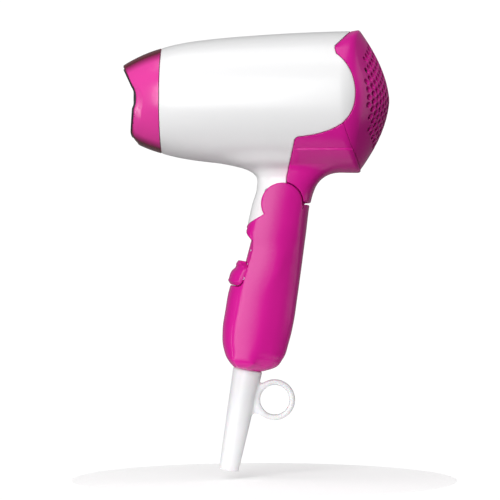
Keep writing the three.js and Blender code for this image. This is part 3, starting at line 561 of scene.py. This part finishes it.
def switch_mark(place, open_ring):
    """Pad-printed dot or ring beside the slide, a thin film on the handle's skin."""
    def field(x, y, z):
        away = np.hypot(x - place[0], z - place[1])
        spot = np.abs(away - 0.6) - 0.2 if open_ring else away - 0.62
        film = np.abs(handle_outer(x, y, z) - 0.02) - 0.06
        return np.maximum(np.maximum(film, spot), y - MARK_SIDE_Y)
    return field


def guard_body(x, y, z):
    """Tapered cord guard with a hanging ring on a web, and a flanged stub inside the handle."""
    radius = np.hypot(x - GUARD_X, y)
    from_ring = np.hypot(x - RING_AT[0], z - RING_AT[1])
    share = np.clip((z - GUARD_TIP) / (GUARD_FOOT - GUARD_TIP), -0.1, 1.1)
    taper = high_of(radius - (5.1 + 2.55 * share), np.maximum(GUARD_TIP - z, z - GUARD_FOOT), 0.9)
    ring = high_of(np.abs(from_ring - RING_RADIUS) - 1.5, np.abs(y) - 2.4, 1.6)
    web = high_of(np.maximum(np.abs(x - 5.5) - 5.2, np.abs(z + 101.8) - 7.6), np.abs(y) - 1.5, 0.8)
    body = low_of(low_of(taper, web, 2.2), ring, 1.6)
    body = high_of(body, RING_HOLE - from_ring, 0.5)
    stub = np.maximum(radius - 5.1, np.maximum(GUARD_FOOT - 1 - z, z + 82))
    flange = np.maximum(radius - 8, np.abs(z + 83.45) - 1.45)
    body = np.minimum(body, np.minimum(stub, flange))
    return high_of(body, CORD_BORE - radius, 0.5)


# ---- Meshes from fields ----
def surface_net(field, low, high, cell):
    """Corner points and four-sided faces of a field's zero surface, settled onto it."""
    low, high = np.array(low, float), np.array(high, float)
    counts = np.ceil((high - low) / cell).astype(int) + 1
    axes = [low[k] + cell * np.arange(counts[k]) for k in range(3)]
    value = np.broadcast_to(field(*np.meshgrid(*axes, indexing="ij", sparse=True)), counts)
    stride = np.array([counts[1] * counts[2], counts[2], 1])
    quads, points = [], []
    for axis in range(3):
        one, two = (axis + 1) % 3, (axis + 2) % 3
        near = value[tuple(slice(0, -1) if k == axis else slice(1, -1) for k in range(3))]
        far = value[tuple(slice(1, None) if k == axis else slice(1, -1) for k in range(3))]
        found = np.argwhere((near < 0) != (far < 0))
        a, b = near[tuple(found.T)], far[tuple(found.T)]
        node = found + 1
        node[:, axis] -= 1
        point = node.astype(float)
        point[:, axis] += a / (a - b)
        base = node @ stride
        quad = np.stack([base, base - stride[one], base - stride[one] - stride[two], base - stride[two]], 1)
        outward = a < 0
        quad[~outward] = quad[~outward][:, ::-1]
        quads.append(quad)
        points.append(np.repeat(point[:, None], 4, 1))
    quads = np.concatenate(quads)
    points = np.concatenate(points).reshape(-1, 3)
    ids, index = np.unique(quads.ravel(), return_inverse=True)
    hits = np.bincount(index)
    spot = np.stack([np.bincount(index, points[:, k]) / hits for k in range(3)], 1) * cell + low
    spot, normals = settle(field, spot, cell)
    return spot, index.reshape(-1, 4), normals


def settle(field, spot, cell):
    """Moves points onto the surface along its gradient; returns them with their normals."""
    probe = 0.08
    normals = None
    for step in range(4):
        x, y, z = spot.T
        slope = np.stack([
            field(x + probe, y, z) - field(x - probe, y, z),
            field(x, y + probe, z) - field(x, y - probe, z),
            field(x, y, z + probe) - field(x, y, z - probe),
        ], 1) / (2 * probe)
        size = np.linalg.norm(slope, axis=1, keepdims=True) + 1e-6
        normals = slope / size
        if step == 3:
            break
        move = np.clip(field(x, y, z)[:, None] / size, -0.4 * cell, 0.4 * cell)
        spot = spot - move * normals
    return spot, normals


def mesh_object(name, spot, faces, normals, material, leaning):
    """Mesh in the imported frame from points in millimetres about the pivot."""
    if leaning:
        c, s = math.cos(LEAN), math.sin(LEAN)
        turn = np.array([[c, 0, s], [0, 1, 0], [-s, 0, c]])
        spot, normals = spot @ turn.T, normals @ turn.T
    mesh = bpy.data.meshes.new(name)
    mesh.vertices.add(len(spot))
    mesh.vertices.foreach_set("co", (spot * MM + np.array(PIVOT)).astype(np.float32).ravel())
    mesh.loops.add(faces.size)
    mesh.loops.foreach_set("vertex_index", faces.astype(np.int32).ravel())
    mesh.polygons.add(len(faces))
    mesh.polygons.foreach_set("loop_start", np.arange(0, faces.size, 4, dtype=np.int32))
    mesh.update(calc_edges=True)
    mesh.validate()
    mesh.shade_smooth()
    mesh.normals_split_custom_set_from_vertices(normals.astype(np.float32).tolist())
    mesh.materials.append(material)
    thing = bpy.data.objects.new(name, mesh)
    bpy.context.scene.collection.objects.link(thing)
    return thing


def casing(name, field, low, high, cell, material, body, nodes, leaning=False):
    """One moulded piece from its field, riding on a body and standing for its CAD nodes."""
    step = cell
    spot, faces, normals = surface_net(field, low, high, step)
    piece = mesh_object(name, spot, faces, normals, material, leaning)
    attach(piece, body)
    if nodes:
        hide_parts(*nodes)
    return piece


# ---- Materials ----
GRAIN_DEPTH = 0.00002  # metres


def new_material(name):
    """Empty material with its node tree and its main shader."""
    material = bpy.data.materials.new(name)
    material.use_nodes = True
    tree = material.node_tree
    return material, tree, tree.nodes["Principled BSDF"]


def noise(tree, scale, detail=3.0):
    """Value of a noise pattern that is fixed to the piece."""
    place = tree.nodes.new("ShaderNodeTexCoord")
    node = tree.nodes.new("ShaderNodeTexNoise")
    node.inputs["Scale"].default_value = scale
    node.inputs["Detail"].default_value = detail
    tree.links.new(place.outputs["Object"], node.inputs["Vector"])
    return node.outputs[0]


def tone(tree, source, low, high, start=0.3, end=0.7):
    """Colour that goes from one tone to another with a value."""
    ramp = tree.nodes.new("ShaderNodeValToRGB")
    ramp.color_ramp.elements[0].position = start
    ramp.color_ramp.elements[1].position = end
    ramp.color_ramp.elements[0].color = (*low, 1)
    ramp.color_ramp.elements[1].color = (*high, 1)
    tree.links.new(source, ramp.inputs["Fac"])
    return ramp.outputs["Color"]


def spread(tree, source, low, high):
    """Pattern value mapped to a range."""
    node = tree.nodes.new("ShaderNodeMapRange")
    node.inputs["From Min"].default_value = 0.3
    node.inputs["From Max"].default_value = 0.7
    node.inputs["To Min"].default_value = low
    node.inputs["To Max"].default_value = high
    tree.links.new(source, node.inputs["Value"])
    return node.outputs["Result"]


def grain(tree, shader, scale, strength):
    """Fine moulded grain as bump."""
    bump = tree.nodes.new("ShaderNodeBump")
    bump.inputs["Strength"].default_value = strength
    bump.inputs["Distance"].default_value = GRAIN_DEPTH
    tree.links.new(noise(tree, scale, 2.0), bump.inputs["Height"])
    tree.links.new(bump.outputs["Normal"], shader.inputs["Normal"])


def moulded(name, low, high, rough, grain_scale, grain_strength, specular=0.5):
    """Moulded surface: slight tone drift, uneven gloss and a fine grain."""
    material, tree, shader = new_material(name)
    drift = noise(tree, 22)
    tree.links.new(tone(tree, drift, low, high), shader.inputs["Base Color"])
    wear = noise(tree, 60, 5.0)
    tree.links.new(spread(tree, wear, rough[0], rough[1]), shader.inputs["Roughness"])
    grain(tree, shader, grain_scale, grain_strength)
    shader.inputs["Specular IOR Level"].default_value = specular
    return material


def soft_plastic(name, low, high, rough):
    """Moulded plastic that lets a little light into its surface."""
    material = moulded(name, low, high, rough, 1800, 0.15)
    shader = material.node_tree.nodes["Principled BSDF"]
    shader.inputs["Subsurface Weight"].default_value = 0.1
    shader.inputs["Subsurface Scale"].default_value = 0.002
    return material


def metal(name, low, high, rough, anisotropic=0.0):
    """Bare metal with the same drift and grain."""
    material = moulded(name, low, high, rough, 1400, 0.15)
    shader = material.node_tree.nodes["Principled BSDF"]
    shader.inputs["Metallic"].default_value = 1.0
    shader.inputs["Anisotropic"].default_value = anisotropic
    return material


def tinted_plastic():
    """Polished see-through pink, darker where the wall is seen edge on."""
    material, tree, shader = new_material("nozzle_plastic")
    weight = tree.nodes.new("ShaderNodeLayerWeight")
    weight.inputs["Blend"].default_value = 0.5
    facing = weight.outputs["Facing"]
    color = tone(tree, facing, (0.93, 0.065, 0.43), (0.13, 0.001, 0.02), 0.4, 0.64)
    tree.links.new(color, shader.inputs["Base Color"])
    shader.inputs["Transmission Weight"].default_value = 0.2
    shader.inputs["IOR"].default_value = 1.49
    shader.inputs["Specular IOR Level"].default_value = 0.4
    wear = noise(tree, 90, 4.0)
    tree.links.new(spread(tree, wear, 0.2, 0.23), shader.inputs["Roughness"])
    grain(tree, shader, 900, 0.03)
    return material


WHITE_LOW, WHITE_HIGH = (0.885, 0.885, 0.89), (0.895, 0.895, 0.9)
PINK_LOW, PINK_HIGH = (0.65, 0.01, 0.29), (0.69, 0.013, 0.31)
white = moulded("white_plastic", WHITE_LOW, WHITE_HIGH, (0.275, 0.29), 2600, 0.05)
pink = moulded("pink_plastic", PINK_LOW, PINK_HIGH, (0.22, 0.26), 2600, 0.06, specular=0.25)
guard_plastic = soft_plastic("guard_plastic", (0.76, 0.76, 0.775), (0.81, 0.81, 0.82), (0.36, 0.46))
# Also used for the nozzle's dark sleeve, where this dark is painted shade rather than a real part's colour.
dark = moulded("dark_heatproof_and_painted_shade", (0.012, 0.011, 0.014), (0.022, 0.02, 0.026), (0.35, 0.5), 1800, 0.3)
screen_dark = moulded("screen_plastic", (0.05, 0.006, 0.03), (0.07, 0.01, 0.045), (0.5, 0.6), 1800, 0.2)
mica = moulded("mica_sheet", (0.5, 0.38, 0.19), (0.7, 0.58, 0.35), (0.35, 0.6), 300, 0.4)
circuit = moulded("circuit_lacquer", (0.02, 0.11, 0.035), (0.04, 0.17, 0.06), (0.25, 0.4), 700, 0.2)
lead = moulded("lead_silicone", (0.74, 0.74, 0.69), (0.82, 0.82, 0.77), (0.4, 0.55), 900, 0.2)
mark_paint = moulded("mark_paint", (0.56, 0.42, 0.6), (0.62, 0.48, 0.66), (0.4, 0.5), 1800, 0.1)
steel = metal("zinc_steel", (0.5, 0.51, 0.53), (0.62, 0.63, 0.65), (0.25, 0.42))
wire = metal("oxidised_wire", (0.22, 0.2, 0.19), (0.42, 0.38, 0.35), (0.35, 0.55))
can = metal("drawn_steel", (0.5, 0.5, 0.52), (0.6, 0.61, 0.62), (0.2, 0.35), 0.5)
nozzle_plastic = tinted_plastic()

SLOT_MATERIALS = {
    "heater_tube": mica, "mica_board_upright": mica, "mica_board_flat": mica,
    "heating_coil_front": wire, "heating_coil_rear": wire, "thermostat": steel, "thermal_fuse": steel,
    "motor": can, "motor_holder": dark, "rectifier_board": circuit, "neck_screw": steel, "detent_ball": steel,
    "detent_spring": steel, "head_lead": lead, "motor_shaft": steel, "fan_impeller": screen_dark,
    "fold_pin": steel, "handle_screw_upper": steel, "handle_screw_lower": steel, "switch_body": dark,
    "switch_contact": steel, "noise_capacitor": dark, "handle_lead": lead, "cord_clamp": guard_plastic,
    "clamp_screw_front": steel, "clamp_screw_rear": steel, "lint_screen": screen_dark,
}
for node_name, material in SLOT_MATERIALS.items():
    for material_slot in frame["nodes"][node_name].material_slots:
        material_slot.material = material


# ---- Camera ----
def aim(thing, target):
    """Turns a camera or lamp to look at a point."""
    way = Vector(target) - thing.location
    thing.rotation_euler = way.to_track_quat("-Z", "Y").to_euler()


VIEW_MIDDLE = Vector((-0.0075, 0, 0.0233))
VIEW_WIDTH = 0.26
VIEW_DISTANCE = 1.3
camera_data = bpy.data.cameras.new("camera")
camera_data.sensor_width = 36
camera_data.lens = camera_data.sensor_width * VIEW_DISTANCE / VIEW_WIDTH
camera_data.clip_start = 0.05
camera = bpy.data.objects.new("camera", camera_data)
bpy.context.scene.collection.objects.link(camera)
camera.location = VIEW_MIDDLE + Vector((0, -VIEW_DISTANCE, 0))
aim(camera, VIEW_MIDDLE)
bpy.context.scene.camera = camera

# ---- Pieces ----
casing("barrel_shell", white_casing, (-64, -38, -18), (42, 38, 92), 0.76,
       white, "head", ["barrel_housing"])
casing("rear_shell", rear_casing, (0, -38, -2), (46, 38, 46), 0.6,
       pink, "head", ["rear_housing"])
casing("intake_shell", intake_casing, (24, -39, 15), (58.5, 39, 92), 0.5,
       pink, "head", ["rear_grille"])
casing("nozzle_shell", nozzle_casing, (-84, -29, 24), (-57, 29, 83), 0.55,
       nozzle_plastic, "head", ["outlet_nozzle"])
# The dark sleeve in this piece is painted shade inside the nozzle's mouth; the rings and spokes are the real
# outlet guard.
casing("outlet_guard_and_shade_sleeve", outlet_detail, (-84, -26, RISE - 26), (-58, 26, RISE + 26), 0.45,
       dark, "head", ["outlet_grille"])
casing("handle_left", handle_shell(-1), (-20, -17, -89), (20, 1, 12.5), 0.55,
       pink, "handle", ["handle_shell_left"], True)
casing("handle_right", handle_shell(1), (-20, -1, -89), (20, 17, 12.5), 0.55,
       pink, "handle", ["handle_shell_right"], True)
casing("slide_knob", knob_body, (-22, -15, -48), (-6, 15, -30), 0.35,
       pink, "switch_slider", ["switch_knob"], True)
# Two dots and an open ring, one for each of the slide's settings.
SWITCH_MARKS = (((-11.5, -26.6), False), ((-12.05, -33.7), False), ((-12.5, -41.4), True))
for count, (place, open_ring) in enumerate(SWITCH_MARKS, 1):
    low, high = (place[0] - 1, -16, place[1] - 1), (place[0] + 1, -9, place[1] + 1)
    casing(f"switch_mark_{count}", switch_mark(place, open_ring), low, high, 0.1,
           mark_paint, "handle", [], True)
casing("guard_sleeve", guard_body, (-11, -9, -143), (28, 9, -80), 0.4,
       guard_plastic, "handle", ["cord_guard"], True)


# ---- Studio ----
def area_light(name, place, target, size_x, size_y, power):
    """Soft rectangular lamp aimed at a point."""
    data = bpy.data.lights.new(name, "AREA")
    data.shape = "RECTANGLE"
    data.size, data.size_y = size_x, size_y
    data.energy = power
    lamp = bpy.data.objects.new(name, data)
    bpy.context.scene.collection.objects.link(lamp)
    lamp.location = place
    aim(lamp, target)


def pale_floor():
    """Small pale disc just below the object, with a glow of its own."""
    material, tree, shader = new_material("pale_floor")
    color = tone(tree, noise(tree, 3), (0.9, 0.9, 0.9), (0.93, 0.93, 0.93))
    tree.links.new(color, shader.inputs["Base Color"])
    shader.inputs["Roughness"].default_value = 0.8
    shader.inputs["Emission Color"].default_value = (1, 1, 1, 1)
    shader.inputs["Emission Strength"].default_value = 0.42
    mesh = bpy.data.meshes.new("floor")
    reach, sides, level = 0.1, 96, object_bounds()[0][2] - 0.004
    turns = [2 * math.pi * k / sides for k in range(sides)]
    rim = [(reach * math.cos(turn), reach * math.sin(turn), level) for turn in turns]
    mesh.from_pydata(rim, [], [tuple(range(sides))])
    mesh.materials.append(material)
    floor = bpy.data.objects.new("floor", mesh)
    bpy.context.scene.collection.objects.link(floor)
    floor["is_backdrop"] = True


def studio_world(strength, behind):
    """White to the camera; to everything else a dim glow with a brighter sheet behind the object."""
    world = bpy.data.worlds.new("studio")
    bpy.context.scene.world = world
    world.use_nodes = True
    tree = world.node_tree
    tree.nodes.clear()
    out = tree.nodes.new("ShaderNodeOutputWorld")
    glow = tree.nodes.new("ShaderNodeBackground")
    backdrop = tree.nodes.new("ShaderNodeBackground")
    path = tree.nodes.new("ShaderNodeLightPath")
    mix = tree.nodes.new("ShaderNodeMixShader")
    for shader in (glow, backdrop):
        shader.inputs["Color"].default_value = (1, 1, 1, 1)
    backdrop.inputs["Strength"].default_value = 1.05
    place = tree.nodes.new("ShaderNodeTexCoord")
    split = tree.nodes.new("ShaderNodeSeparateXYZ")
    sheet = tree.nodes.new("ShaderNodeMapRange")
    sheet.interpolation_type = "SMOOTHSTEP"
    sheet.inputs["From Min"].default_value = 0.4
    sheet.inputs["From Max"].default_value = 0.85
    sheet.inputs["To Min"].default_value = strength
    sheet.inputs["To Max"].default_value = behind
    tree.links.new(place.outputs["Generated"], split.inputs["Vector"])
    tree.links.new(split.outputs["Y"], sheet.inputs["Value"])
    tree.links.new(sheet.outputs["Result"], glow.inputs["Strength"])
    tree.links.new(path.outputs["Is Camera Ray"], mix.inputs["Fac"])
    tree.links.new(glow.outputs[0], mix.inputs[1])
    tree.links.new(backdrop.outputs[0], mix.inputs[2])
    tree.links.new(mix.outputs[0], out.inputs["Surface"])


pale_floor()
studio_world(0.06, 0.25)
HEART = (0, 0, 0.05)
area_light("key_softbox", (-0.46, -1.2, 0.33), HEART, 0.85, 1.1, 17.8)
area_light("top_softbox", (-0.05, -0.15, 1.0), HEART, 0.9, 0.6, 3.2)
area_light("rear_softbox", (1.0, 0.1, 0.25), HEART, 0.6, 1.0, 1.9)
area_light("left_strip", (-1.1, -0.25, -0.15), HEART, 0.12, 0.45, 1.8)
bpy.context.scene.view_settings.view_transform = "Standard"
